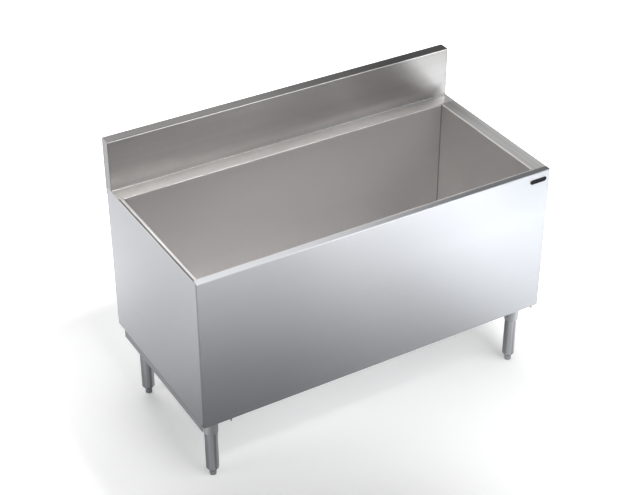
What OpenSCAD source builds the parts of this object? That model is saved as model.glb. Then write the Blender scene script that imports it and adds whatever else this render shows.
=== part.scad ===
// Underbar ice bin: a foam-insulated stainless ice well with a full apron, a backsplash,
// two leg channels and four legs with screw-adjusted feet.
// Millimetres. X runs from side to side, Y from front to back, Z up from the floor.

/* [Overall size] */
// Width of the bin, side to side
bin_w = 1219.2; // [900:0.1:1830]
// Depth from the apron's face to the back of the backsplash
bin_d = 607; // [520:0.5:760]
// Height of the deck above the floor
deck_h = 762; // [700:0.5:920]

/* [Sheet metal] */
// Thickness of the stainless sheet
sheet_t = 1.2; // [0.9:0.1:1.6]
// Outside radius of a bend in the sheet
bend_r = 2.6; // [2:0.1:3.5]
// Width of the inward flanges of the apron and the side panels
shell_flange = 16; // [12:1:30]

/* [Deck and backsplash] */
// Height of the backsplash above the deck
splash_rise = 168.5; // [60:0.5:330]
// Thickness of the backsplash from its face to its back
splash_t = 39; // [20:0.5:80]
// Depth of the ledge between the backsplash and the well
ledge_d = 56.5; // [15:0.5:120]
// How far the backsplash's back hangs below the deck
tail_drop = 25; // [12:1:60]
// How far the back panel stands in from the backsplash's back
back_inset = 4; // [3:0.5:12]
// Width of the front rim, apron face to well
front_rim_w = 26.5; // [20:0.5:60]
// Width of the left rim, side face to well
left_rim_w = 14; // [13:0.5:90]
// Width of the right rim, side face to well
right_rim_w = 53; // [24:0.5:120]
// Width of the slot between the left side panel and the left rim
reveal_w = 2.4; // [1:0.1:3]
// Depth of the left rim's down flange
rim_drop = 25; // [10:1:60]

/* [Body] */
// Height of the apron's face
apron_h = 517; // [480:0.5:620]
// How far the side and back panels stop above the apron's lower edge
side_lift = 2; // [1.7:0.1:20]
// Height of the bottom pan's turned-up edge
pan_edge = 12; // [6:1:30]

/* [Ice well] */
// Depth of the well, deck to well floor
well_depth = 440; // [250:1:490]
// Width of the liner's lip, level with the deck
lip_w = 6; // [4:0.5:7]
// Leg of the weld bead in the well's corners
bead = 2.4; // [1:0.1:2.8]

/* [False bottom] */
// Height of the perforated false bottom above the well floor
false_h = 32; // [15:1:80]
// Thickness of the false bottom's sheet
false_t = 1.5; // [1:0.1:2.5]
// Gap between the false bottom and the well's walls
false_gap = 6; // [6:0.5:12]
// Gap between the two halves of the false bottom
half_gap = 3; // [1:0.5:8]
// Diameter of a drain hole in the false bottom
hole_d = 10; // [6:0.5:14]
// Spacing of the drain holes
hole_pitch = 45; // [30:1:80]
// Plain border around the drain holes
hole_border = 28; // [15:1:60]

/* [Leg channels] */
// Width of a leg channel
channel_w = 99.6; // [97:0.1:120]
// Height of a leg channel
channel_h = 29; // [20:0.5:60]
// Thickness of a leg channel's sheet
channel_t = 2; // [1.5:0.1:3]
// Outside radius of a leg channel's bends
channel_r = 4; // [3.2:0.1:8]
// How far a leg channel stands in from the side face
channel_inset = 2; // [1.5:0.1:4]
// From the apron's face to the front end of a leg channel
channel_front = 21.6; // [18:0.1:40]
// From the back panel's face to the rear end of a leg channel
channel_back = 39; // [5:0.5:60]

/* [Legs] */
// From the side face to a leg's axis
leg_side = 50.6; // [47:0.1:57]
// From the apron's face to a front leg's axis
leg_front = 63.9; // [62:0.1:160]
// From the back panel's face to a rear leg's axis
leg_back = 81.3; // [80:0.1:160]
// Outside diameter of the leg tube
tube_d = 41.3; // [36:0.1:44]
// Wall of the leg tube
tube_wall = 1.6; // [1.2:0.1:3]
// Side of the square plate on the leg gusset
plate_w = 84; // [80:1:88]
// Thickness of the leg gusset's plate
plate_thick = 3; // [2:0.1:6]
// Length of the gusset's collar below its plate
collar_h = 72.5; // [40:0.5:110]
// Wall of the collar at its plate
collar_top_wall = 3.8; // [2.5:0.1:6]
// Wall of the collar at its lower edge
collar_low_wall = 1.9; // [1.5:0.1:2.4]
// Diameter of a gusset screw's shank
screw_d = 6; // [4:0.5:8]
// Diameter of a gusset screw's head
screw_head_d = 12; // [9:0.5:14]
// From the gusset plate's edge to a screw
screw_edge = 12; // [8:0.5:13]
// Diameter of a collar's set screw
set_screw_d = 8; // [5:0.5:10]

/* [Feet] */
// Height of a foot below its leg when screwed right in
foot_h = 17.5; // [10:0.5:24]
// Width of a foot across its flats
foot_flats = 21; // [15:0.5:24]
// Height of the sloping shoulder under the leg tube
shoulder_h = 11.5; // [5:0.5:20]
// Diameter of the shoulder's lower end
shoulder_low_d = 23.6; // [18:0.1:30]
// Length of the insert's plug inside the tube
plug_h = 34; // [25:1:60]
// Diameter of a foot's stud
stud_d = 12; // [8:0.5:14]
// Length of a foot's stud
stud_len = 58; // [50:1:80]
// Pitch of the stud's thread
stud_pitch = 1.75; // [1.25:0.25:3]

/* [Drain] */
// Outside diameter of the drain's threaded body
drain_d = 33.4; // [26.5:0.1:48]
// Bore of the drain
drain_bore = 24; // [15:0.1:24.4]
// Outside diameter of the plain drain spigot
spigot_d = 32; // [28:0.1:33]
// Length of the plain drain spigot
spigot_len = 36; // [20:1:80]
// Length of the drain's thread below the bottom pan
drain_thread = 24; // [16:1:60]
// Diameter of the drain's flange
drain_flange_d = 76; // [62:1:110]
// Thickness of the drain's flange
drain_flange_t = 2.5; // [2:0.1:5]
// Thickness of the gasket under the drain's flange
gasket_t = 1.5; // [1:0.1:4]
// Width of the drain's locknut across its flats
nut_flats = 48; // [44:1:62]
// Height of the drain's locknut
nut_h = 9; // [6:0.5:12]
// Diameter of the strainer's disc
strainer_d = 54; // [40:1:56]
// Thickness of the strainer's disc
strainer_t = 1.2; // [0.8:0.1:1.5]

/* [Name plate and rivets] */
// Length of the blank plate
plate_len = 63.5; // [40:0.5:70]
// Height of the blank plate
plate_h = 18; // [10:0.5:30]
// Thickness of the blank plate
plate_t = 1.2; // [0.8:0.1:3]
// Width of the blank plate's raised border
plate_border = 1.5; // [0.8:0.1:4]
// From the right side to the blank plate's middle
plate_side = 43; // [36:0.5:200]
// From the deck to the blank plate's middle
plate_drop = 29; // [18:0.5:200]
// Diameter of a rivet's head
rivet_d = 7; // [5:0.5:8]
// Height of a rivet's head
rivet_h = 1.4; // [0.8:0.1:1.6]
// Number of rivets up each side of the back panel
rivet_count = 6; // [3:1:12]
// From the back panel's ends to the nearest rivet
rivet_edge = 24; // [10:1:60]

/* [Hidden] */
$fn = 48;

// Clearance of a fixed piece in its hole, of a screw thread, and under a piece that lifts off
fit_gap = 0.1;
thread_gap = 0.05;
seat_gap = 0.3;

// Faces of the body
half_w = bin_w / 2;
front_y = -(bin_d - plate_t) / 2;
back_y = front_y + bin_d;
body_back = back_y - back_inset;
face_y = back_y - splash_t;
splash_top = deck_h + splash_rise;
deck_under = deck_h - sheet_t;
fold = max(2 * sheet_t, bend_r);

// Levels at the bottom of the body
apron_bottom = deck_h - apron_h;
side_bottom = apron_bottom + side_lift;
pan_z = apron_bottom + sheet_t;
pan_y0 = front_y + fold;
pan_y1 = body_back - 2 * sheet_t;

// Ice well, and the outer edge of its lip
well_x0 = -half_w + left_rim_w;
well_x1 = half_w - right_rim_w;
well_y0 = front_y + front_rim_w;
well_y1 = face_y - ledge_d;
well_cx = (well_x0 + well_x1) / 2;
well_cy = (well_y0 + well_y1) / 2;
floor_z = deck_h - well_depth;
lip_x0 = well_x0 - lip_w;
lip_x1 = well_x1 + lip_w;
lip_y0 = well_y0 - lip_w;
lip_y1 = well_y1 + lip_w;
rim_x0 = -half_w + sheet_t + reveal_w;

// The well's walls: the middle of each inner face in X and Y, its turn, and its length
front_wall = [well_cx, well_y0, 180, well_x1 - well_x0];
back_wall = [well_cx, well_y1, 0, well_x1 - well_x0];
left_wall = [well_x0, well_cy, 90, well_y1 - well_y0];
right_wall = [well_x1, well_cy, -90, well_y1 - well_y0];

// Channels and legs; web_z is the underside of a channel's web
channel_y0 = front_y + channel_front;
channel_y1 = body_back - channel_back;
web_z = pan_z - channel_t;
gusset_z = web_z - plate_thick;
collar_z = gusset_z - collar_h;
leg_x = half_w - leg_side;
leg_y = [front_y + leg_front, body_back - leg_back];
legs = [[-leg_x, leg_y[0]], [leg_x, leg_y[0]], [-leg_x, leg_y[1]], [leg_x, leg_y[1]]];
tube_r = tube_d / 2;
tube_z = foot_h + shoulder_h;
screw_at = plate_w / 2 - screw_edge;
screw_r = screw_d / 2;
screw_head_h = 4;
plate_corner = 8;
collar_flare = 5;
collar_chamfer = 1;
set_screw_up = 16;
set_screw_out = 2;

// Feet
stud_r = stud_d / 2 - thread_gap;
thread_depth = 0.55;
foot_corner_r = foot_flats / 2 / cos(30);
foot_bevel = 1.5;

// Drain levels, top to bottom
drain_r = drain_d / 2;
flange_z0 = floor_z + gasket_t;
flange_z1 = flange_z0 + drain_flange_t;
washer_t = 2;
washer_edge = 3;
spigot_z1 = pan_z - drain_thread;
spigot_z0 = spigot_z1 - spigot_len;
drain_pitch = 2.2;
skirt_t = 1;
skirt_h = 8;
slot_r = 2.2;

// Back rivets
rivet_x = half_w - (bend_r + shell_flange) / 2;
rivet_r = 1.6;
rivet_z0 = side_bottom + rivet_edge;
rivet_z1 = deck_h - tail_drop - rivet_edge;

// Long enough to pass any edge of a section
beyond = well_depth;

steel = [0.78, 0.79, 0.80];
dark_steel = [0.60, 0.61, 0.62];

// A flat shape in Y and Z, drawn out along X
module along_x(x0, x1) {
    translate([x0, 0, 0]) rotate([90, 0, 90]) linear_extrude(x1 - x0) children();
}

// A flat shape in X and Z, drawn out along Y
module along_y(y0, y1) {
    translate([0, y1, 0]) rotate([90, 0, 0]) linear_extrude(y1 - y0) children();
}

// A block between two corners
module block(lo, hi) {
    translate(lo) cube(hi - lo);
}

// A flat rectangle between two corners
module plate(lo, hi) {
    translate(lo) square(hi - lo);
}

// A flat rectangle with round corners
module soft_plate(lo, hi, r) {
    plate([lo[0] + r, lo[1]], [hi[0] - r, hi[1]]);
    plate([lo[0], lo[1] + r], [hi[0], hi[1] - r]);
    for (x = [lo[0] + r, hi[0] - r], y = [lo[1] + r, hi[1] - r]) translate([x, y]) circle(r);
}

// The outline of a folded sheet: a ring t thick with corners bent at radius r
module sheet_ring(lo, hi, r, t) {
    difference() {
        soft_plate(lo, hi, r);
        soft_plate([lo[0] + t, lo[1] + t], [hi[0] - t, hi[1] - t], r - t);
    }
}

// Points up a shaft's side from z0 to z1, with a groove at each turn of a thread
function thread_side(r, depth, pitch, z0, z1) = [
    for (i = [0 : floor((z1 - z0) / pitch) - 1], step = [[0, 0], [0.5, 1]])
        [r - depth * step[1], z0 + (i + step[0]) * pitch]
];

// Front apron and front rim, one bent sheet
module front_apron() {
    color(steel) along_x(-half_w, half_w) intersection() {
        sheet_ring([front_y, apron_bottom], [front_y + beyond, deck_h], bend_r, sheet_t);
        union() {
            plate([front_y, apron_bottom], [front_y + bend_r, deck_h]);
            plate([front_y, deck_h - bend_r], [lip_y0, deck_h]);
            plate([front_y, apron_bottom], [front_y + shell_flange, apron_bottom + bend_r]);
        }
    }
}

// Left-hand side panel, with flanges behind the apron and the back panel
module side_panel() {
    y0 = front_y + sheet_t;
    y1 = body_back - sheet_t;
    top = deck_under - bend_r;
    translate([0, 0, side_bottom]) linear_extrude(top - side_bottom) intersection() {
        sheet_ring([-half_w, y0], [-half_w + beyond, y1], bend_r, sheet_t);
        union() {
            plate([-half_w, y0], [-half_w + bend_r, y1]);
            plate([-half_w, y0], [-half_w + shell_flange, y0 + bend_r]);
            plate([-half_w, y1 - bend_r], [-half_w + shell_flange, y1]);
        }
    }
    block([-half_w, y0 + bend_r, top - bend_r], [-half_w + sheet_t, y1 - bend_r, deck_under]);
}

// Holes for the rivets through the back panel and the side panels' rear flanges
module rivet_holes() {
    at_rivets() rotate([90, 0, 0]) cylinder(r = rivet_r + fit_gap, h = 8 * sheet_t, center = true);
}

// Copies of a child at every rivet, on the back panel's face
module at_rivets() {
    step = (rivet_z1 - rivet_z0) / (rivet_count - 1);
    for (side = [-1, 1], i = [0 : rivet_count - 1])
        translate([side * rivet_x, body_back, rivet_z0 + i * step]) children();
}

module left_side_panel() {
    color(steel) difference() {
        side_panel();
        rivet_holes();
    }
}

module right_side_panel() {
    color(steel) difference() {
        union() {
            mirror([1, 0, 0]) side_panel();
            block([half_w - shell_flange, lip_y0, deck_under - sheet_t], [half_w - sheet_t, lip_y1, deck_under]);
        }
        rivet_holes();
    }
}

// Back panel, with a top flange that reaches under the ledge
module back_panel() {
    flange_y = face_y - 2 * bend_r - sheet_t;
    color(steel) difference() {
        union() {
            along_x(-half_w + sheet_t, half_w - sheet_t) intersection() {
                sheet_ring([body_back - beyond, side_bottom - beyond], [body_back, deck_under], bend_r, sheet_t);
                union() {
                    plate([body_back - bend_r, side_bottom], [body_back, deck_under]);
                    plate([flange_y, deck_under - bend_r], [body_back, deck_under]);
                }
            }
            block([-half_w, body_back - sheet_t, side_bottom], [half_w, body_back, deck_under - bend_r]);
        }
        rivet_holes();
    }
}

// Bottom pan, a shallow tray that rests on the apron's lower flange
module bottom_pan() {
    x0 = -half_w + sheet_t;
    color(dark_steel) difference() {
        block([x0, pan_y0, pan_z], [-x0, pan_y1, pan_z + pan_edge]);
        block([x0 + sheet_t, pan_y0 + sheet_t, pan_z + sheet_t],
              [-x0 - sheet_t, pan_y1 - sheet_t, pan_z + pan_edge + 1]);
        at_gusset_screws() cylinder(r = screw_r + fit_gap, h = plate_w, center = true);
        at_drain(pan_z) cylinder(r = drain_r + fit_gap, h = 4 * sheet_t, center = true);
    }
}

// Ledge, backsplash face, flat top and back, one bent sheet between the end caps
module backsplash_deck() {
    z_low = deck_h - tail_drop;
    color(steel) difference() {
        along_x(-half_w, half_w) union() {
            intersection() {
                sheet_ring([face_y, deck_h - beyond], [back_y, splash_top], bend_r, sheet_t);
                union() {
                    plate([face_y, deck_h + bend_r], [face_y + bend_r, splash_top]);
                    plate([face_y, splash_top - bend_r], [back_y, splash_top]);
                    plate([back_y - bend_r, z_low], [back_y, splash_top]);
                }
            }
            intersection() {
                translate([face_y - bend_r, deck_h + bend_r]) difference() {
                    circle(bend_r + sheet_t);
                    circle(bend_r);
                }
                plate([face_y - bend_r, deck_under], [face_y + sheet_t, deck_h + bend_r]);
            }
            plate([lip_y1, deck_under], [face_y - bend_r, deck_h]);
        }
        for (x = [-half_w - 1, half_w - sheet_t]) {
            block([x, face_y - 1, deck_h + bend_r], [x + sheet_t + 1, back_y + 1, splash_top + 1]);
            block([x, face_y, deck_h], [x + sheet_t + 1, back_y + 1, splash_top]);
            block([x, body_back, z_low - 1], [x + sheet_t + 1, back_y + 1, splash_top]);
        }
    }
}

// Plate that closes an end of the backsplash, with its tab behind the body
module end_cap(x) {
    color(steel) along_x(x, x + sheet_t) {
        intersection() {
            soft_plate([face_y, deck_h - beyond], [back_y, splash_top], bend_r);
            plate([face_y, deck_h], [back_y, splash_top]);
        }
        plate([body_back, deck_h - tail_drop], [back_y, deck_h]);
    }
}

// Narrow left rim, standing clear of the side panel by the reveal
module left_rim() {
    color(steel) along_y(lip_y0, lip_y1) intersection() {
        sheet_ring([rim_x0, deck_h - beyond], [rim_x0 + beyond, deck_h], bend_r, sheet_t);
        union() {
            plate([rim_x0, deck_h - rim_drop], [rim_x0 + bend_r, deck_h]);
            plate([rim_x0, deck_h - bend_r], [lip_x0, deck_h]);
        }
    }
}

// Wide right rim, a strip laid on the right side panel's top flange
module right_rim() {
    color(steel) block([lip_x1, lip_y0, deck_under], [half_w, lip_y1, deck_h]);
}

// A child set at a wall of the well, X along its inner face and Y outward
module at_wall(wall) {
    translate([wall[0], wall[1], 0]) rotate([0, 0, wall[2]]) children();
}

// Section of a liner wall with its rolled lip. X is the distance outward from the inner face.
module wall_section() {
    intersection() {
        sheet_ring([0, floor_z - beyond], [beyond, deck_h], bend_r, sheet_t);
        union() {
            plate([0, floor_z], [bend_r, deck_h]);
            plate([0, deck_h - bend_r], [lip_w, deck_h]);
        }
    }
}

// A liner wall, mitred at both ends to the walls beside it
module liner_wall(wall) {
    half = wall[3] / 2;
    at_wall(wall) intersection() {
        along_x(-half - lip_w, half + lip_w) wall_section();
        translate([0, 0, floor_z]) linear_extrude(well_depth)
            polygon([[-half, 0], [half, 0], [half + lip_w, lip_w], [-half - lip_w, lip_w]]);
    }
}

// An end wall of the liner, with the weld beads of its two upright corners
module liner_end_wall(wall) {
    half = wall[3] / 2;
    root = sheet_t / 2;
    color(steel) {
        liner_wall(wall);
        at_wall(wall) translate([0, 0, floor_z + bead]) linear_extrude(well_depth - bead - bend_r) {
            polygon([[-half, root], [-half, -bead], [-half + bead, 0], [-half + bead, root]]);
            polygon([[half, root], [half - bead, root], [half - bead, 0], [half, -bead]]);
        }
    }
}

module liner_front_wall() {
    color(steel) liner_wall(front_wall);
}

module liner_back_wall() {
    color(steel) liner_wall(back_wall);
}

module liner_left_wall() {
    liner_end_wall(left_wall);
}

module liner_right_wall() {
    liner_end_wall(right_wall);
}

// Floor of the well under its walls, with the weld bead along them
module liner_floor() {
    root = floor_z - sheet_t / 2;
    color(steel) difference() {
        union() {
            block([well_x0 - sheet_t, well_y0 - sheet_t, floor_z - sheet_t],
                  [well_x1 + sheet_t, well_y1 + sheet_t, floor_z]);
            for (wall = [front_wall, back_wall, left_wall, right_wall])
                at_wall(wall) along_x(-wall[3] / 2, wall[3] / 2)
                    polygon([[0, root], [0, floor_z + bead], [-bead, floor_z], [-bead, root]]);
        }
        at_drain(floor_z) cylinder(r = drain_r + fit_gap, h = 4 * sheet_t, center = true);
    }
}

// Foam between the liner and the outer panels
module insulation() {
    color([0.93, 0.88, 0.70]) difference() {
        block([-half_w + 2 * sheet_t, pan_y0 + sheet_t, pan_z + sheet_t],
              [half_w - 2 * sheet_t, pan_y1 - sheet_t, deck_h - fold - seat_gap]);
        block([-half_w, lip_y0 - seat_gap, deck_h - rim_drop - seat_gap],
              [rim_x0 + sheet_t, lip_y1 + seat_gap, deck_h]);
        block([well_x0 - sheet_t, well_y0 - sheet_t, floor_z - sheet_t],
              [well_x1 + sheet_t, well_y1 + sheet_t, deck_h]);
        at_drain(floor_z) cylinder(r = drain_r + fit_gap, h = 2 * well_depth, center = true);
    }
}

// One half of the perforated false bottom: a plate on two turned-down edges
module false_bottom(x0, x1) {
    y0 = well_y0 + false_gap;
    y1 = well_y1 - false_gap;
    top = floor_z + false_h;
    fold_r = false_t + 1.5;
    across = floor((x1 - x0 - 2 * hole_border) / hole_pitch);
    deep = floor((y1 - y0 - 2 * hole_border) / hole_pitch);
    color([0.72, 0.73, 0.74]) difference() {
        along_x(x0, x1) intersection() {
            sheet_ring([y0, floor_z - beyond], [y1, top], fold_r, false_t);
            plate([y0, floor_z + seat_gap], [y1, top]);
        }
        for (i = [0 : across], j = [0 : deep])
            translate([(x0 + x1) / 2 + (i - across / 2) * hole_pitch,
                       (y0 + y1) / 2 + (j - deep / 2) * hole_pitch, top])
                cylinder(d = hole_d, h = 4 * false_t, center = true);
    }
}

module left_false_bottom() {
    false_bottom(well_x0 + false_gap, well_cx - half_gap / 2);
}

module right_false_bottom() {
    false_bottom(well_cx + half_gap / 2, well_x1 - false_gap);
}

// A child on the drain's axis, at a level
module at_drain(z) {
    translate([well_cx, well_cy, z]) children();
}

// Drain with its flange in the well, its thread through the foam and its plain spigot
module drain_body() {
    r_bore = drain_bore / 2;
    recess_r = strainer_d / 2 + fit_gap;
    color([0.74, 0.72, 0.66]) at_drain(0) rotate_extrude() polygon(concat(
        [[r_bore, spigot_z0], [spigot_d / 2, spigot_z0], [spigot_d / 2, spigot_z1]],
        thread_side(drain_r, drain_pitch / 3, drain_pitch, spigot_z1, pan_z - sheet_t),
        [[drain_r, pan_z], [drain_r, flange_z0], [drain_flange_d / 2, flange_z0],
         [drain_flange_d / 2 - 1, flange_z1], [recess_r, flange_z1],
         [recess_r, flange_z1 - strainer_t], [r_bore, flange_z1 - strainer_t]]
    ));
}

// Rubber gasket between the drain's flange and the well floor
module drain_gasket() {
    color([0.12, 0.12, 0.12]) at_drain(floor_z) difference() {
        cylinder(d = drain_flange_d - 2, h = gasket_t);
        translate([0, 0, -1]) cylinder(r = drain_r + fit_gap, h = gasket_t + 2);
    }
}

// Fibre washer between the bottom pan and the locknut
module drain_washer() {
    color([0.20, 0.20, 0.20]) at_drain(pan_z - washer_t) difference() {
        cylinder(d = nut_flats + 2 * washer_edge, h = washer_t);
        translate([0, 0, -1]) cylinder(r = drain_r + fit_gap, h = washer_t + 2);
    }
}

// Hexagonal locknut under the bottom pan
module drain_locknut() {
    color([0.72, 0.60, 0.36]) at_drain(pan_z - washer_t - nut_h) difference() {
        cylinder(d = nut_flats / cos(30), h = nut_h, $fn = 6);
        translate([0, 0, -1]) cylinder(r = drain_r + fit_gap, h = nut_h + 2);
    }
}

// Perforated strainer let into the drain's flange
module drain_strainer() {
    r_skirt = drain_bore / 2 - fit_gap;
    color(steel) at_drain(flange_z1 - strainer_t) difference() {
        union() {
            cylinder(d = strainer_d, h = strainer_t);
            translate([0, 0, -skirt_h]) cylinder(r = r_skirt, h = skirt_h);
        }
        translate([0, 0, -skirt_h - 1]) cylinder(r = r_skirt - skirt_t, h = skirt_h + 1);
        cylinder(r = slot_r, h = 4 * strainer_t, center = true);
        for (a = [0 : 60 : 300])
            rotate([0, 0, a]) translate([drain_bore / 3.4, 0, 0])
                cylinder(r = slot_r, h = 4 * strainer_t, center = true);
    }
}

// Left-hand leg channel, an upside-down U under the bottom pan
module leg_channel() {
    x0 = -half_w + channel_inset;
    difference() {
        along_y(channel_y0, channel_y1) intersection() {
            sheet_ring([x0, pan_z - beyond], [x0 + channel_w, pan_z], channel_r, channel_t);
            plate([x0, pan_z - channel_h], [x0 + channel_w, pan_z]);
        }
        at_gusset_screws() cylinder(r = screw_r + fit_gap, h = plate_w, center = true);
    }
}

module left_leg_channel() {
    color(dark_steel) leg_channel();
}

module right_leg_channel() {
    color(dark_steel) mirror([1, 0, 0]) leg_channel();
}

// Copies of a child at every gusset screw, at the plate's underside
module at_gusset_screws() {
    for (leg = legs, dx = [-screw_at, screw_at], dy = [-screw_at, screw_at])
        translate([leg[0] + dx, leg[1] + dy, gusset_z]) children();
}

// Screws that hold the gussets, channels and bottom pan together
module gusset_screws() {
    color("silver") at_gusset_screws() {
        translate([0, 0, -screw_head_h / 4])
            cylinder(r = screw_r, h = pan_z + sheet_t - gusset_z + screw_head_h / 4);
        translate([0, 0, -screw_head_h]) difference() {
            rotate_extrude() polygon([[0, 0], [screw_head_d / 2 - 1.5, 0], [screw_head_d / 2, 1.5],
                                      [screw_head_d / 2, screw_head_h], [0, screw_head_h]]);
            translate([0, 0, -1]) cylinder(r = screw_r * 0.8, h = 3, $fn = 6);
        }
    }
}

// Outer radius of a collar at a height above its lower edge
function collar_r(up) = tube_r + fit_gap + collar_low_wall + (collar_top_wall - collar_low_wall) * up / collar_h;

// Leg gusset: a square plate with a tapered collar that takes the leg tube
module leg_gusset(i) {
    bore = tube_r + fit_gap;
    top_r = collar_r(collar_h);
    color([0.66, 0.67, 0.68]) translate([legs[i][0], legs[i][1], 0]) difference() {
        union() {
            translate([0, 0, gusset_z]) linear_extrude(plate_thick)
                soft_plate([-plate_w / 2, -plate_w / 2], [plate_w / 2, plate_w / 2], plate_corner);
            rotate_extrude() polygon([
                [tube_r - tube_wall, collar_z], [collar_r(0) - collar_chamfer, collar_z],
                [collar_r(0), collar_z + collar_chamfer], [collar_r(collar_h - collar_flare), gusset_z - collar_flare],
                [top_r + collar_flare, gusset_z], [top_r + collar_flare, gusset_z + plate_thick / 2],
                [tube_r - tube_wall, gusset_z + plate_thick / 2]
            ]);
        }
        translate([0, 0, collar_z - 1]) cylinder(r = bore, h = collar_h + plate_thick + 2);
        translate([0, 0, collar_z + set_screw_up]) rotate([-90, 0, 0])
            cylinder(d = set_screw_d + 2 * fit_gap, h = plate_w);
        for (dx = [-screw_at, screw_at], dy = [-screw_at, screw_at])
            translate([dx, dy, gusset_z]) cylinder(r = screw_r + fit_gap, h = 4 * plate_thick, center = true);
    }
}

// Set screws through the backs of the collars, against the leg tubes
module set_screws() {
    reach = collar_r(set_screw_up) + set_screw_out - tube_r - fit_gap;
    color([0.35, 0.35, 0.36]) for (leg = legs)
        translate([leg[0], leg[1] + tube_r + fit_gap, collar_z + set_screw_up]) rotate([-90, 0, 0]) difference() {
            cylinder(d = set_screw_d, h = reach);
            translate([0, 0, reach - 2]) cylinder(d = set_screw_d / 2, h = 3, $fn = 6);
        }
}

// Leg tube, up through the collar to the channel's web
module leg_tube(i) {
    color(steel) translate([legs[i][0], legs[i][1], tube_z]) difference() {
        cylinder(r = tube_r, h = web_z - tube_z);
        translate([0, 0, -1]) cylinder(r = tube_r - tube_wall, h = web_z - tube_z + 2);
    }
}

// Insert that closes the tube with a sloping shoulder and takes the foot's stud
module foot_insert(i) {
    plug_r = tube_r - tube_wall - fit_gap;
    color([0.62, 0.63, 0.64]) translate([legs[i][0], legs[i][1], 0]) rotate_extrude() polygon([
        [stud_d / 2, foot_h], [shoulder_low_d / 2, foot_h], [tube_r, tube_z], [plug_r, tube_z],
        [plug_r, tube_z + plug_h], [stud_d / 2, tube_z + plug_h]
    ]);
}

// Foot with hexagonal sides, bevelled edges and a threaded stud
module foot(i) {
    top = foot_h - seat_gap;
    flat_r = foot_corner_r - foot_bevel;
    color([0.55, 0.56, 0.57]) translate([legs[i][0], legs[i][1], 0]) {
        intersection() {
            cylinder(r = foot_corner_r, h = top, $fn = 6);
            rotate_extrude() polygon([[0, 0], [flat_r, 0], [foot_corner_r, foot_bevel],
                                      [foot_corner_r, top - foot_bevel / 2],
                                      [foot_corner_r - foot_bevel / 2, top], [0, top]]);
        }
        rotate_extrude() polygon(concat(
            [[0, top - foot_bevel], [stud_r, top - foot_bevel]],
            thread_side(stud_r, thread_depth, stud_pitch, top, top + stud_len),
            [[stud_r - thread_depth, top + stud_len], [0, top + stud_len]]
        ));
    }
}

// A flat bar with round ends, in X and Z
module round_bar(length, height) {
    plate([-(length - height) / 2, -height / 2], [(length - height) / 2, height / 2]);
    for (side = [-1, 1]) translate([side * (length - height) / 2, 0]) circle(d = height);
}

// Blank plate on the apron, with a raised border
module name_plate() {
    border_lift = plate_t / 3;
    color([0.15, 0.15, 0.16]) translate([half_w - plate_side, 0, deck_h - plate_drop]) {
        along_y(front_y - plate_t + border_lift, front_y) round_bar(plate_len, plate_h);
        along_y(front_y - plate_t, front_y) difference() {
            round_bar(plate_len, plate_h);
            round_bar(plate_len - 2 * plate_border, plate_h - 2 * plate_border);
        }
    }
}

// Rivets up both sides of the back panel
module back_rivets() {
    head_r = rivet_d / 2;
    tail = 2 * sheet_t + sheet_t / 2;
    color("silver") at_rivets() rotate([-90, 0, 0]) rotate_extrude() polygon([
        [0, -tail], [rivet_r, -tail], [rivet_r, 0], [head_r, 0],
        [head_r * 0.8, rivet_h * 0.7], [head_r * 0.4, rivet_h], [0, rivet_h]
    ]);
}

front_apron();
left_side_panel();
right_side_panel();
back_panel();
bottom_pan();
backsplash_deck();
end_cap(-half_w);  // left_end_cap
end_cap(half_w - sheet_t);  // right_end_cap
left_rim();
right_rim();
liner_floor();
liner_front_wall();
liner_back_wall();
liner_left_wall();
liner_right_wall();
insulation();
left_false_bottom();
right_false_bottom();
drain_body();
drain_gasket();
drain_washer();
drain_locknut();
drain_strainer();
left_leg_channel();
right_leg_channel();
gusset_screws();
set_screws();
leg_gusset(0);  // leg_gusset_front_left
leg_gusset(1);  // leg_gusset_front_right
leg_gusset(2);  // leg_gusset_rear_left
leg_gusset(3);  // leg_gusset_rear_right
leg_tube(0);  // leg_tube_front_left
leg_tube(1);  // leg_tube_front_right
leg_tube(2);  // leg_tube_rear_left
leg_tube(3);  // leg_tube_rear_right
foot_insert(0);  // foot_insert_front_left
foot_insert(1);  // foot_insert_front_right
foot_insert(2);  // foot_insert_rear_left
foot_insert(3);  // foot_insert_rear_right
foot(0);  // foot_front_left
foot(1);  // foot_front_right
foot(2);  // foot_rear_left
foot(3);  // foot_rear_right
name_plate();
back_rivets();
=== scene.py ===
"""Underbar ice bin: materials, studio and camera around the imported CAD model. Metres, Z up."""
import math

import bpy
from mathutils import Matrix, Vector


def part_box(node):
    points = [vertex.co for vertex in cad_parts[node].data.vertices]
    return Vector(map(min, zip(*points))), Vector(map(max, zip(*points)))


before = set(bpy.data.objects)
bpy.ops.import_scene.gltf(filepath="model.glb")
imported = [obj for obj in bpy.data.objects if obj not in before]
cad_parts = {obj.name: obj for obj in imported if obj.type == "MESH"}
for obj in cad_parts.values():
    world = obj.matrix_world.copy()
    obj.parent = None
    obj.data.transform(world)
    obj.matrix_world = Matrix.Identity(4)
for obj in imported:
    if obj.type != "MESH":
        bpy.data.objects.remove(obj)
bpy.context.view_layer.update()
scene = bpy.context.scene
scene.view_settings.view_transform = "Standard"

X_AXIS = (1.0, 0.0, 0.0)
Y_AXIS = (0.0, 1.0, 0.0)
Z_AXIS = (0.0, 0.0, 1.0)
ZERO = (0.0, 0.0, 0.0)
WHITE = (1.0, 1.0, 1.0, 1.0)

# Camera, fitted to the object's edges. Its lens and sensor are in millimetres
CAMERA_PLACE = (-2.0423, -3.3805, 3.1487)
CAMERA_TURN = (math.radians(56.186), 0.0, math.radians(-30.687))
CAMERA_LENS = 84.843
CAMERA_SENSOR = 36.0
CAMERA_REACH = 100.0


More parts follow.
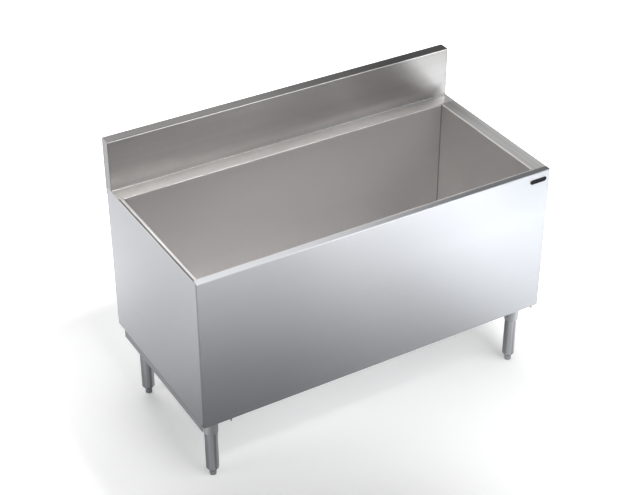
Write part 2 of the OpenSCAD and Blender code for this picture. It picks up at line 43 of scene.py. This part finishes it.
def add_camera():
    """The camera at the photograph's viewing angle."""
    data = bpy.data.cameras.new("camera")
    data.lens = CAMERA_LENS
    data.sensor_width = CAMERA_SENSOR
    data.sensor_fit = "HORIZONTAL"
    data.clip_end = CAMERA_REACH
    camera = bpy.data.objects.new("camera", data)
    scene.collection.objects.link(camera)
    camera.location = CAMERA_PLACE
    camera.rotation_euler = CAMERA_TURN
    scene.camera = camera


add_camera()


class Nodes:
    """The node tree of a material or a world, with short calls that add and link nodes."""

    def __init__(self, owner, output="ShaderNodeOutputMaterial"):
        self.owner = owner
        self.output = output
        owner.use_nodes = True
        self.tree = owner.node_tree
        self.tree.nodes.clear()

    def add(self, kind, inputs=None, **settings):
        """Adds a node with these settings, and sets or links its inputs."""
        node = self.tree.nodes.new(kind)
        for key, value in settings.items():
            setattr(node, key, value)
        for key, value in (inputs or {}).items():
            self.set(node, key, value)
        return node

    def set(self, node, key, value):
        """Links an input to a socket, or gives it a plain value."""
        socket = node.inputs[key]
        if isinstance(value, bpy.types.NodeSocket):
            self.tree.links.new(value, socket)
        else:
            socket.default_value = value

    def math(self, operation, a, b=0.0, c=0.0):
        """One operation on numbers."""
        return self.add("ShaderNodeMath", {0: a, 1: b, 2: c}, operation=operation).outputs[0]

    def product(self, first, *others):
        """Numbers multiplied by one another."""
        for other in others:
            first = self.math("MULTIPLY", first, other)
        return first

    def vector(self, operation, a, b=ZERO):
        """One operation on vectors."""
        node = self.add("ShaderNodeVectorMath", {0: a, 1: b}, operation=operation)
        return node.outputs["Value" if operation in ("DOT_PRODUCT", "LENGTH") else "Vector"]

    def scaled(self, a, by):
        """A vector times a number."""
        node = self.add("ShaderNodeVectorMath", {0: a, "Scale": by}, operation="SCALE")
        return node.outputs["Vector"]

    def noise(self, at, scale, detail=2.0, rough=0.5):
        """A soft random number, from 0 to 1."""
        inputs = {"Vector": at, "Scale": scale, "Detail": detail, "Roughness": rough}
        return self.add("ShaderNodeTexNoise", inputs).outputs[0]

    def ramp(self, value, places, tones, smooth=False):
        """Runs from one tone to another between two places, and is level beyond them."""
        inputs = dict(enumerate((value, *places, *tones)))
        course = "SMOOTHSTEP" if smooth else "LINEAR"
        return self.add("ShaderNodeMapRange", inputs, interpolation_type=course).outputs[0]

    def vary(self, noise, middle, by, most=(0.3, 0.7)):
        """Follows a noise from middle - by to middle + by, over the stretch where most of its values lie."""
        return self.ramp(noise, most, (middle - by, middle + by))

    def tint(self, colour, amount):
        """Multiplies a colour by a number."""
        grey = self.add("ShaderNodeCombineColor", {0: amount, 1: amount, 2: amount}).outputs[0]
        inputs = {0: 1.0, 6: (*colour, 1.0), 7: grey}
        return self.add("ShaderNodeMix", inputs, data_type="RGBA", blend_type="MULTIPLY").outputs[2]

    def finish(self, shader):
        """Ends the tree with this shader and returns the material or world."""
        self.add(self.output, {0: shader.outputs[0]})
        return self.owner


def new_material(name):
    """The empty node tree of a new material."""
    return Nodes(bpy.data.materials.new(name))


def object_place(n):
    """Where a point of the surface lies, as a vector."""
    return n.add("ShaderNodeTexCoord").outputs["Object"]


def spot_of(n):
    """Where a point of the surface lies: x, y and z."""
    return n.add("ShaderNodeSeparateXYZ", {0: object_place(n)}).outputs


# The least upward or downward part of its normal that makes a surface a floor
FLAT = 0.7


def grain_direction(n, grain):
    """The way the brushing runs: a fixed axis, or level round the walls and along X on floors."""
    if grain != "walls":
        return n.vector("ADD", grain)
    normal = n.add("ShaderNodeNewGeometry").outputs["Normal"]
    level = n.vector("NORMALIZE", n.vector("CROSS_PRODUCT", Z_AXIS, normal))
    up = n.add("ShaderNodeSeparateXYZ", {0: normal}).outputs[2]
    flat = n.math("GREATER_THAN", n.math("ABSOLUTE", up), FLAT)
    return n.add("ShaderNodeMix", {0: flat, 4: level, 5: X_AXIS}, data_type="VECTOR").outputs[1]


# How far the relief of a rough surface reaches
RELIEF = 0.0002
# Brushed lines: the noise's scale across the grain and along it, and its detail
FINE_LINES = (900.0, 9.0, 3.0)
WIDE_BANDS = (110.0, 1.2, 2.0)
# Where most values of the fine lines' noise lie, and how strongly the lines stand out in relief
FINE_MOST = (0.2, 0.8)
FINE_BUMP = 0.10
# Smudges: the noise's scale, detail and roughness
SMUDGES = (3.5, 4.0, 0.6)


def brushed(name, colour, rough, grain, aniso=0.6, streaks=0.02, blotch=0.02, scratch=0.06, painted_light_mask=None):
    """Straight-grain brushed steel: fine lines, wider bands and faint smudges.

    The mask, if given, takes the nodes and returns a number that multiplies the colour; it paints light and
    shade into it."""
    n = new_material(name)
    place = object_place(n)
    way = grain_direction(n, grain)
    along = n.vector("DOT_PRODUCT", place, way)

    def lines(across, length, detail):
        spread = n.scaled(place, across)
        back = n.scaled(way, n.math("MULTIPLY", along, across - length))
        return n.noise(n.vector("SUBTRACT", spread, back), 1.0, detail)

    fine = lines(*FINE_LINES)
    bands = lines(*WIDE_BANDS)
    smudge = n.noise(place, *SMUDGES)
    tone = n.math("ADD", n.vary(bands, 1.0, streaks), n.vary(fine, 0.0, streaks, FINE_MOST))
    tone = n.product(tone, n.vary(smudge, 1.0, blotch / 2))
    # painted light and shade multiply the steel's colour here
    if painted_light_mask:
        tone = n.product(tone, painted_light_mask(n))
    normal = n.add("ShaderNodeNewGeometry").outputs["Normal"]
    relief = n.add("ShaderNodeBump", {"Strength": FINE_BUMP, "Distance": RELIEF, "Height": fine})
    shader = n.add("ShaderNodeBsdfPrincipled", {
        "Base Color": n.tint(colour, tone),
        "Metallic": 1.0,
        "Roughness": n.math("ADD", n.vary(fine, rough, scratch / 2, FINE_MOST), n.vary(smudge, 0.0, blotch)),
        "Anisotropic": aniso,
        "Normal": relief.outputs[0],
        "Tangent": n.vector("CROSS_PRODUCT", normal, way),
    })
    return n.finish(shader)


# Grit: the noise's detail and roughness. Clouds, larger and fainter: the noise's scale and detail
GRIT = (4.0, 0.6)
CLOUDS = (12.0, 3.0)


def speckled(name, colour, rough, metallic=0.0, scale=400.0, depth=0.06, bump=0.1):
    """A material with a fine uneven surface: castings, turned steel, rubber, foam."""
    n = new_material(name)
    place = object_place(n)
    grit = n.noise(place, scale, *GRIT)
    cloud = n.noise(place, *CLOUDS)
    tone = n.math("ADD", n.vary(grit, 1.0, depth), n.vary(cloud, 0.0, depth / 2))
    relief = n.add("ShaderNodeBump", {"Strength": bump, "Distance": RELIEF, "Height": grit})
    shader = n.add("ShaderNodeBsdfPrincipled", {
        "Base Color": n.tint(colour, tone),
        "Metallic": metallic,
        "Roughness": n.vary(cloud, rough, 0.1 * rough),
        "Normal": relief.outputs[0],
    })
    return n.finish(shader)


ZINC = (0.50, 0.515, 0.53)
# The spangle's cells to the metre, and the tone and roughness from the darkest cell to the brightest
SPANGLE_SCALE = 75.0
SPANGLE_TONES = (0.86, 1.06)
SPANGLE_ROUGH = (0.38, 0.52)
# The scale and detail of the dull patches over the spangle
DULL_PATCHES = (5.0, 3.0)


def galvanised(name):
    """Zinc-coated sheet with its spangle."""
    n = new_material(name)
    place = object_place(n)
    cells = n.add("ShaderNodeTexVoronoi", {"Vector": place, "Scale": SPANGLE_SCALE})
    cell = n.add("ShaderNodeSeparateColor", {0: cells.outputs["Color"]}).outputs[0]
    dull = n.vary(n.noise(place, *DULL_PATCHES), 0.0, 0.06)
    shader = n.add("ShaderNodeBsdfPrincipled", {
        "Base Color": n.tint(ZINC, n.math("ADD", n.ramp(cell, (0.0, 1.0), SPANGLE_TONES), dull)),
        "Metallic": 1.0,
        "Roughness": n.ramp(cell, (0.0, 1.0), SPANGLE_ROUGH),
    })
    return n.finish(shader)


# Places that the masks need, from the frame, with the well's corners at the roots of their weld beads
SHEET = 0.0012
BEAD = 0.0024
WELL_X = (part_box("liner_left_wall")[1].x - BEAD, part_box("liner_right_wall")[0].x + BEAD)
WELL_Y = (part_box("liner_front_wall")[1].y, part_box("liner_back_wall")[0].y)
SEAM_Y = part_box("left_side_panel")[0].y
CHANNEL_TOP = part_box("left_leg_channel")[1].z
DECK_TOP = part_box("front_apron")[1].z
SPLASH_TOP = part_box("backsplash_deck")[1].z
FACE_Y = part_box("left_end_cap")[0].y
LEDGE_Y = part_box("backsplash_deck")[0].y

# The share of its reach over which a shade is even, before it fades
EVEN_SHARE = 0.7


def close_to(n, value, at, reach):
    """1 at a place on an axis, falling to 0 at reach from it."""
    apart = n.math("ABSOLUTE", n.math("SUBTRACT", value, at))
    return n.ramp(apart, (EVEN_SHARE * reach, reach), (1.0, 0.0))


def shade(n, value, at, reach, tone):
    """tone at a place on an axis, and 1 from reach onward."""
    return n.ramp(close_to(n, value, at, reach), (0.0, 1.0), (1.0, tone))


def blend(n, low, high, weight):
    """low where weight is 0, high where it is 1."""
    return n.math("MULTIPLY_ADD", weight, n.math("SUBTRACT", high, low), low)


# In the masks below, which paint light and shade into the steel's colour, a gradient has the two places on
# an axis between which it runs, and the tones there. A shade has its place on an axis, its reach and its
# tone

# Painted shade along the weld beads in the well's corners: its reach and tone
BEAD_REACH = 0.0028
BEAD_PAINTED_SHADE = 0.42


def well_painted_light_mask(rise, top, most, edge):
    """Painted light and shade on the well's walls: a painted shade along the beads in its upright corners,
    a painted highlight of tone edge on the lip, and painted light toward the bottom, by rise for each metre
    from top up to most."""
    def painted_light_mask(n):
        x, y, z = spot_of(n)

        def at_either(value, places):
            return n.math("MAXIMUM", *(close_to(n, value, at, BEAD_REACH) for at in places))

        corner = n.product(at_either(x, WELL_X), at_either(y, WELL_Y))
        # painted shade in the corners, painted highlight on the lip, painted light lower down
        corner_shade = n.ramp(corner, (0.0, 1.0), (1.0, BEAD_PAINTED_SHADE))
        lip_highlight = shade(n, z, DECK_TOP, SHEET, edge)
        deep_painted_light = n.ramp(z, (DECK_TOP, DECK_TOP - (most - top) / rise), (top, most))
        return n.product(lip_highlight, corner_shade, deep_painted_light)
    return painted_light_mask


# A side's painted light and shade: its tone, how low down it is, what is then added from front to rear,
# and the painted shade at the seam
SIDE_TONE = 0.92
SIDE_LOW = ((0.25, 0.75), (1.0, 0.0))
SIDE_REARWARD = ((SEAM_Y, -SEAM_Y), (-0.32, 0.36))
SEAM_SHADE = (SEAM_Y, 0.009, 0.50)


def side_painted_shade_mask(n):
    """Painted shade along the side's front edge, where it meets the apron. Low down it is painted darker
    toward the front and lighter toward the rear."""
    _, y, z = spot_of(n)
    sheet = n.math("MULTIPLY_ADD", n.ramp(z, *SIDE_LOW), n.ramp(y, *SIDE_REARWARD), SIDE_TONE)
    return n.product(sheet, shade(n, y, *SEAM_SHADE))


# A leg channel: the painted shade where it meets the side
CHANNEL_SHADE = (CHANNEL_TOP, 0.006, 0.45)


def channel_painted_shade_mask(n):
    """Painted shade just under the side's lower edge."""
    return shade(n, spot_of(n)[2], *CHANNEL_SHADE)


# The apron's painted reflection: its tone from the bottom up, what is added toward the right and the share
# of that which stays further up, and the painted highlight that the rim adds from left to right
APRON_UPWARD = ((0.28, 0.76), (0.71, 1.08))
APRON_RIGHTWARD = ((-0.15, 0.58), (0.0, 0.23))
APRON_STAYS = ((0.60, 0.74), (1.0, 0.1))
RIM_HIGHLIGHT_RIGHTWARD = ((0.20, 0.56), (0.24, -0.26))
RIM_REACH = 0.003


def apron_painted_light_mask(n):
    """Painted reflection, darker low on the apron, most at the left. A painted highlight makes its rim
    lighter at the left and darker at the right.
    """
    x, _, z = spot_of(n)
    right = n.product(n.ramp(x, *APRON_RIGHTWARD), n.ramp(z, *APRON_STAYS))
    sheet = n.math("ADD", n.ramp(z, *APRON_UPWARD), right)
    rim = close_to(n, z, DECK_TOP, RIM_REACH)
    return n.math("MULTIPLY_ADD", rim, n.ramp(x, *RIM_HIGHLIGHT_RIGHTWARD), sheet)


# The backsplash's face, all painted light and shade: its tone from the foot up, the least tone toward its
# right end, its tone high up, a slanting painted shadow with the slant's run for each metre up, the painted
# shade of the bend at its foot and the painted highlight of the bend at its top
FACE_FOOT = ((DECK_TOP + 0.011, DECK_TOP + 0.055), (0.37, 0.93))
FACE_END = ((0.52, 0.60), (0.0, 0.9))
FACE_HIGH = ((DECK_TOP + 0.09, SPLASH_TOP), (1.06, 0.88))
SHADOW_SLANT_RUN = 0.8
SHADOW_SLANT_LEFT = ((0.16, 0.38), (1.0, 0.62))
SHADOW_SLANT_RIGHT = ((0.41, 0.48), (0.62, 1.0))
FOOT_BEND_SHADE = (DECK_TOP + 0.0022, 0.0022, 0.80)
TOP_BEND_HIGHLIGHT = (SPLASH_TOP - 0.0026, 0.0014, 2.0)
# Where the face ends, toward the back and toward the ledge
FACE_REARWARD = ((FACE_Y + 0.002, FACE_Y + 0.006), (1.0, 0.0))
FACE_UPWARD = ((DECK_TOP + 0.0004, DECK_TOP + 0.0012), (0.0, 1.0))
# The ledge's painted reflection, its tone to the right and to the rear, and the painted shade of the
# backsplash's top
LEDGE_RIGHTWARD = ((-0.4, 0.5), (1.72, 2.0))
LEDGE_REARWARD = ((LEDGE_Y, FACE_Y), (1.0, 1.2))
TOP_SHADE = (SPLASH_TOP, SHEET, 0.40)


def deck_painted_light_mask(n):
    """Painted light and shade: lighter on the ledge, darker on the backsplash's top, and on its face darker
    low down, high up and along a slanting painted shadow toward the right, with a painted highlight along
    its upper bend."""
    x, y, z = spot_of(n)
    foot = n.math("MAXIMUM", n.ramp(z, *FACE_FOOT), n.ramp(x, *FACE_END))
    slant = n.math("ADD", x, n.product(n.math("SUBTRACT", z, SPLASH_TOP), SHADOW_SLANT_RUN))
    # a slanting painted shadow across the face
    slant_shadow = n.math("MAXIMUM", n.ramp(slant, *SHADOW_SLANT_LEFT), n.ramp(slant, *SHADOW_SLANT_RIGHT))
    bends = n.product(shade(n, z, *FOOT_BEND_SHADE), shade(n, z, *TOP_BEND_HIGHLIGHT))
    face = n.product(foot, n.ramp(z, *FACE_HIGH), slant_shadow, bends)
    on_face = n.product(n.ramp(y, *FACE_REARWARD), n.ramp(z, *FACE_UPWARD))
    ledge = n.product(n.ramp(x, *LEDGE_RIGHTWARD), n.ramp(y, *LEDGE_REARWARD))
    tone = blend(n, 1.0, face, on_face)
    tone = blend(n, tone, ledge, close_to(n, z, DECK_TOP, SHEET))
    return n.product(tone, shade(n, z, *TOP_SHADE))


# The rims' painted reflection: a tone from front to rear, and its weight from the left rim to the right one
RIM_REARWARD = ((-0.2, 0.2), (1.04, 0.82))
RIGHT_HALF = ((-0.1, 0.1), (0.0, 1.0))


def rim_painted_reflection_mask(n):
    """Painted reflection, darker toward the rear of the right rim."""
    x, y, _ = spot_of(n)
    return blend(n, 1.0, n.ramp(y, *RIM_REARWARD), n.ramp(x, *RIGHT_HALF))


# Painted reflections in bands down a tube, by how far its surface turns to the right: where each lies and
# its tone, and the tone of them all
TUBE_REFLECTION_BANDS = ((0.0, 0.52), (0.06, 0.62), (0.14, 0.84), (0.30, 0.88), (0.40, 0.84), (0.46, 0.56),
              (0.60, 0.56), (0.66, 0.96), (0.85, 1.0), (1.0, 0.9))
TUBE_TONE = 1.5


def tube_painted_reflection_mask(n):
    """Painted reflections: lighter and darker bands down a leg, as a polished tube would mirror its
    surroundings.
    """
    normal = n.add("ShaderNodeTexCoord").outputs["Normal"]
    turned = n.add("ShaderNodeSeparateXYZ", {0: normal}).outputs[0]
    bands = n.add("ShaderNodeValToRGB", {0: n.ramp(turned, (-1.0, 1.0), (0.0, 1.0))})
    stops = bands.color_ramp.elements
    stops.remove(stops[1])
    stops[0].position, tone = TUBE_REFLECTION_BANDS[0]
    stops[0].color = (tone, tone, tone, 1.0)
    for place, tone in TUBE_REFLECTION_BANDS[1:]:
        stops.new(place).color = (tone, tone, tone, 1.0)
    return n.product(bands.outputs[0], TUBE_TONE)


# The plate: its rim's width, the colours inside the rim and of the rim, and its grit's scale and detail
PLATE_RIM = 0.0008
ENAMEL = (0.012, 0.012, 0.014)
BARE_METAL = (0.50, 0.502, 0.508)
PLATE_GRIT = (1500.0, 3.0)


def enamelled_plate(name):
    """A blank plate with round ends: dark enamel inside a thin rim of bare metal."""
    n = new_material(name)
    place = object_place(n)
    low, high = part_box("name_plate")
    radius = (high.z - low.z) / 2
    reach = (high.x - low.x) / 2 - radius
    offset = n.vector("SUBTRACT", place, tuple((low + high) / 2))
    along = n.vector("ABSOLUTE", n.vector("MULTIPLY", offset, X_AXIS))
    past_end = n.vector("MAXIMUM", n.vector("SUBTRACT", along, (reach, 0.0, 0.0)), ZERO)
    apart = n.vector("LENGTH", n.vector("ADD", past_end, n.vector("MULTIPLY", offset, Z_AXIS)))
    rim = n.math("GREATER_THAN", apart, radius - PLATE_RIM)
    grit = n.noise(place, *PLATE_GRIT)
    enamel = n.add("ShaderNodeBsdfPrincipled", {
        "Base Color": n.tint(ENAMEL, n.vary(grit, 1.0, 0.1)),
        "Roughness": n.vary(grit, 0.65, 0.05),
        "Specular IOR Level": 0.1,
    })
    metal = n.add("ShaderNodeBsdfPrincipled", {
        "Base Color": n.tint(BARE_METAL, n.vary(grit, 1.0, 0.05)),
        "Metallic": 1.0,
        "Roughness": 0.3,
    })
    return n.finish(n.add("ShaderNodeMixShader", {0: rim, 1: enamel.outputs[0], 2: metal.outputs[0]}))


# Colours of the sheet steel: one stainless steel, whose copies for the parts are painted lighter and darker
# for the light and shade each part takes, and tinted cool and warm
COOL = (0.412, 0.420, 0.438)
SIDE_COOL = (0.350, 0.358, 0.376)
CAP_SHADED_GREY = (0.222, 0.220, 0.223)
WARM = (0.460, 0.449, 0.440)
RIM_LIT_STEEL = (0.62, 0.613, 0.61)
WELL_WARM = (0.580, 0.563, 0.556)
WELL_END_LIT_WARM = (0.83, 0.805, 0.793)

steel_apron = brushed("brushed_apron", COOL, 0.31, X_AXIS, aniso=0.8, streaks=0.006, blotch=0.008,
                      painted_light_mask=apron_painted_light_mask)
steel_side = brushed("brushed_side", SIDE_COOL, 0.31, Y_AXIS, aniso=0.8, streaks=0.006, blotch=0.008,
                     painted_light_mask=side_painted_shade_mask)
steel_cap = brushed("brushed_cap", CAP_SHADED_GREY, 0.31, Y_AXIS, aniso=0.8, streaks=0.01)
steel_deck = brushed("brushed_deck", WARM, 0.31, X_AXIS, aniso=0.8, streaks=0.02, painted_light_mask=deck_painted_light_mask)
steel_rim = brushed("brushed_rim", RIM_LIT_STEEL, 0.36, Y_AXIS, aniso=0.8, streaks=0.10, painted_light_mask=rim_painted_reflection_mask)
steel_well = brushed("brushed_well", WELL_WARM, 0.55, "walls", aniso=0.4, streaks=0.006, blotch=0.01,
                     painted_light_mask=well_painted_light_mask(rise=1.85, top=0.78, most=1.50, edge=1.45))
steel_well_end = brushed("brushed_well_end", WELL_END_LIT_WARM, 0.55, "walls", aniso=0.4, streaks=0.006,
                         blotch=0.01, painted_light_mask=well_painted_light_mask(rise=1.30, top=0.80, most=1.18, edge=1.10))
steel_plate = brushed("brushed_plate", (0.50, 0.498, 0.495), 0.36, X_AXIS)
steel_channel = brushed("brushed_channel", (0.25, 0.254, 0.263), 0.38, Y_AXIS, painted_light_mask=channel_painted_shade_mask)
steel_leg = brushed("brushed_leg", (0.35, 0.356, 0.372), 0.18, Z_AXIS, aniso=0.3, streaks=0.10,
                    painted_light_mask=tube_painted_reflection_mask)
steel_cast = speckled("cast_steel", (0.40, 0.405, 0.418), 0.36, metallic=1.0)
steel_turned = speckled("turned_steel", (0.36, 0.364, 0.375), 0.28, metallic=1.0, scale=900.0, depth=0.03)
zinc = galvanised("galvanised_sheet")
plated = speckled("nickel_plate", (0.62, 0.60, 0.56), 0.22, metallic=1.0, scale=700.0, depth=0.02)
brass = speckled("machined_brass", (0.72, 0.50, 0.22), 0.25, metallic=1.0, scale=700.0, depth=0.04)
rubber = speckled("black_rubber", (0.022, 0.022, 0.023), 0.62, scale=900.0, depth=0.10)
fibre = speckled("hard_fibre", (0.07, 0.05, 0.04), 0.55, scale=1200.0, depth=0.15)
foam = speckled("rigid_foam", (0.78, 0.70, 0.46), 0.85, scale=600.0, depth=0.08, bump=0.5)
black_oxide = speckled("black_oxide", (0.06, 0.06, 0.065), 0.40, metallic=1.0, scale=900.0)
plate_dark = enamelled_plate("plate_enamel")

LOOKS = {
    "front_apron": steel_apron, "backsplash_deck": steel_deck,
    "liner_floor": steel_plate, "liner_front_wall": steel_well, "liner_back_wall": steel_well,
    "liner_left_wall": steel_well_end, "liner_right_wall": steel_well_end,
    "left_side_panel": steel_side, "right_side_panel": steel_side,
    "left_end_cap": steel_cap, "right_end_cap": steel_cap,
    "left_rim": steel_rim, "right_rim": steel_rim,
    "left_leg_channel": steel_channel, "right_leg_channel": steel_channel,
    "left_false_bottom": steel_plate, "right_false_bottom": steel_plate,
    "back_panel": zinc, "bottom_pan": zinc, "insulation": foam,
    "drain_body": plated, "drain_strainer": steel_plate, "drain_gasket": rubber,
    "drain_washer": fibre, "drain_locknut": brass,
    "gusset_screws": plated, "set_screws": black_oxide, "back_rivets": plated,
    "name_plate": plate_dark,
}
for leg in ("front_left", "front_right", "rear_left", "rear_right"):
    LOOKS["leg_gusset_" + leg] = steel_cast
    LOOKS["leg_tube_" + leg] = steel_leg
    LOOKS["foot_insert_" + leg] = steel_turned
    LOOKS["foot_" + leg] = steel_turned

for node, look in LOOKS.items():
    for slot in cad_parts[node].material_slots:
        slot.material = look

# Studio: a pale floor that fades to white away from the object, and soft lamps

# The floor's width, how far it lies below the feet, and its grey
FLOOR_SIZE = 40.0
FLOOR_DROP = 0.0005
FLOOR_GREY = (0.93, 0.93, 0.93)
# The middle of the shade in front of the bin, half its size, and how far it fades out
SHADE_MIDDLE = (-0.13, -0.21, 0.0)
SHADE_HALF = (0.53, 0.72, 1.0)
FADE = 0.55
# How much white the camera sees even where the shade is deepest
SHADE_LIFT = 0.28
# A painted shadow on the floor: the greyer spot that the left of the apron mirrors, where it begins and
# ends, and its tones
PAINTED_SHADOW_MIDDLE = (-0.30, -0.80, 0.0)
PAINTED_SHADOW_REACH = (0.05, 0.60)
PAINTED_SHADOW_TONES = (0.72, 1.0)


def floor_material():
    """Pale with a painted shadow in front of the bin's left, and white where the camera, metal and glass
    look at it away from the bin. It takes light and shade from above, and isn't there from below."""
    n = new_material("studio_floor")
    place = object_place(n)
    from_painted_shadow = n.vector("LENGTH", n.vector("SUBTRACT", place, PAINTED_SHADOW_MIDDLE))
    pale = n.add("ShaderNodeBsdfPrincipled", {
        # the floor's grey carries the painted shadow spot
        "Base Color": n.tint(FLOOR_GREY, n.ramp(from_painted_shadow, PAINTED_SHADOW_REACH, PAINTED_SHADOW_TONES, smooth=True)),
        "Roughness": 0.9,
        "Specular IOR Level": 0.1,
    })
    beside = n.vector("ABSOLUTE", n.vector("SUBTRACT", place, SHADE_MIDDLE))
    apart = n.vector("LENGTH", n.vector("MAXIMUM", n.vector("SUBTRACT", beside, SHADE_HALF), ZERO))
    fade = n.ramp(apart, (0.0, FADE), (0.0, 1.0), smooth=True)
    path = n.add("ShaderNodeLightPath").outputs
    mirrored = n.math("MAXIMUM", path["Is Glossy Ray"], path["Is Transmission Ray"])
    faded = n.product(fade, n.math("MAXIMUM", path["Is Camera Ray"], mirrored))
    strength = n.math("MAXIMUM", faded, n.product(path["Is Camera Ray"], SHADE_LIFT))
    white = n.add("ShaderNodeEmission", {"Color": WHITE, "Strength": strength})
    both = n.add("ShaderNodeAddShader", {0: pale.outputs[0], 1: white.outputs[0]})
    under = n.add("ShaderNodeNewGeometry").outputs["Backfacing"]
    clear = n.add("ShaderNodeBsdfTransparent")
    return n.finish(n.add("ShaderNodeMixShader", {0: under, 1: both.outputs[0], 2: clear.outputs[0]}))


def add_floor():
    """The floor, a plain square just under the feet."""
    half = FLOOR_SIZE / 2
    corners = [(-half, -half, 0), (half, -half, 0), (half, half, 0), (-half, half, 0)]
    mesh = bpy.data.meshes.new("studio_floor")
    mesh.from_pydata(corners, [], [(0, 1, 2, 3)])
    mesh.materials.append(floor_material())
    floor = bpy.data.objects.new("studio_floor", mesh)
    scene.collection.objects.link(floor)
    floor.location.z = -FLOOR_DROP


add_floor()

# The world lights the bin evenly and faintly. It shows white to the camera, and to metal and glass
# as far up as LOW_SKY, above which they mirror the dim ceiling
EVEN_LIGHT = 0.03
LOW_SKY = (0.15, 0.32)


def studio_world():
    """A faint even light, which is white where the camera, metal and glass look at it."""
    n = Nodes(bpy.data.worlds.new("studio"), "ShaderNodeOutputWorld")
    way = n.add("ShaderNodeTexCoord").outputs["Generated"]
    up = n.add("ShaderNodeSeparateXYZ", {0: way}).outputs[2]
    path = n.add("ShaderNodeLightPath").outputs
    mirrored = n.math("MAXIMUM", path["Is Glossy Ray"], path["Is Transmission Ray"])
    mirrored = n.product(mirrored, n.ramp(up, LOW_SKY, (1.0, EVEN_LIGHT), smooth=True))
    seen = n.math("MAXIMUM", path["Is Camera Ray"], mirrored)
    strength = n.math("MAXIMUM", seen, EVEN_LIGHT)
    return n.finish(n.add("ShaderNodeBackground", {"Color": WHITE, "Strength": strength}))


scene.world = studio_world()

# name: place, what it faces, width, height, watts per square metre, spread in degrees
LAMPS = {
    "over_middle": ((0.0, 1.5, 3.2), (0.0, 1.5, 0.0), 1.2, 3.2, 5.4, 180),
    "over_right": ((1.2, 2.3, 3.2), (1.2, 2.3, 0.0), 1.2, 4.8, 5.2, 180),
    "over_back": ((-0.6, 3.9, 3.2), (-0.6, 3.9, 0.0), 2.4, 1.6, 14.0, 180),
    "far_right_back": ((3.6, 3.1, 3.2), (3.6, 3.1, 0.0), 1.2, 3.2, 2.5, 180),
    "left_low": ((-3.0, 0.0, 0.6), (0.0, 0.0, 0.6), 1.6, 1.2, 22.0, 180),
    "front_high": ((1.2, -1.5, 1.75), (0.72, -0.3, 0.5), 1.6, 0.7, 12.5, 180),
    "front_low": ((0.8, -1.5, 0.35), (0.48, -0.3, 0.5), 0.8, 0.7, 3.5, 180),
    "front_grid": ((0.3, -2.2, 1.6), (0.3, -0.3, 0.6), 1.2, 0.8, 3.0, 60),
    "over_front_grid": ((-0.20, -1.2, 2.3), (-0.24, 0.1, 0.75), 1.3, 0.5, 4.0, 45),
    "into_well_grid": ((-0.7, -0.3, 2.6), (0.50, 0.1, 0.50), 0.8, 0.5, 1.3, 40),
    "down_right": ((1.5, -1.2, 2.6), (1.5, -1.2, 0.0), 0.8, 0.6, 8.6, 45),
    "down_middle": ((0.85, -0.95, 2.6), (0.85, -0.95, 0.0), 1.4, 0.6, 1.6, 45),
    "behind": ((0.0, 3.6, 1.2), (0.0, 0.3, 0.6), 3.0, 1.6, 3.0, 180),
}
# The lamps whose light isn't white
LAMP_TINTS = {"down_right": (0.78, 0.89, 1.0)}


def add_lamp(name, place, target, width, height, power, spread):
    """A rectangular lamp that faces its target and that the camera doesn't see."""
    data = bpy.data.lights.new(name, "AREA")
    data.shape = "RECTANGLE"
    data.size = width
    data.size_y = height
    data.energy = power * width * height
    data.spread = math.radians(spread)
    data.color = LAMP_TINTS.get(name, WHITE[:3])
    lamp = bpy.data.objects.new(name, data)
    scene.collection.objects.link(lamp)
    lamp.location = place
    lamp.rotation_euler = (Vector(target) - Vector(place)).to_track_quat("-Z", "Y").to_euler()
    lamp.visible_camera = False


for name, facts in LAMPS.items():
    add_lamp(name, *facts)
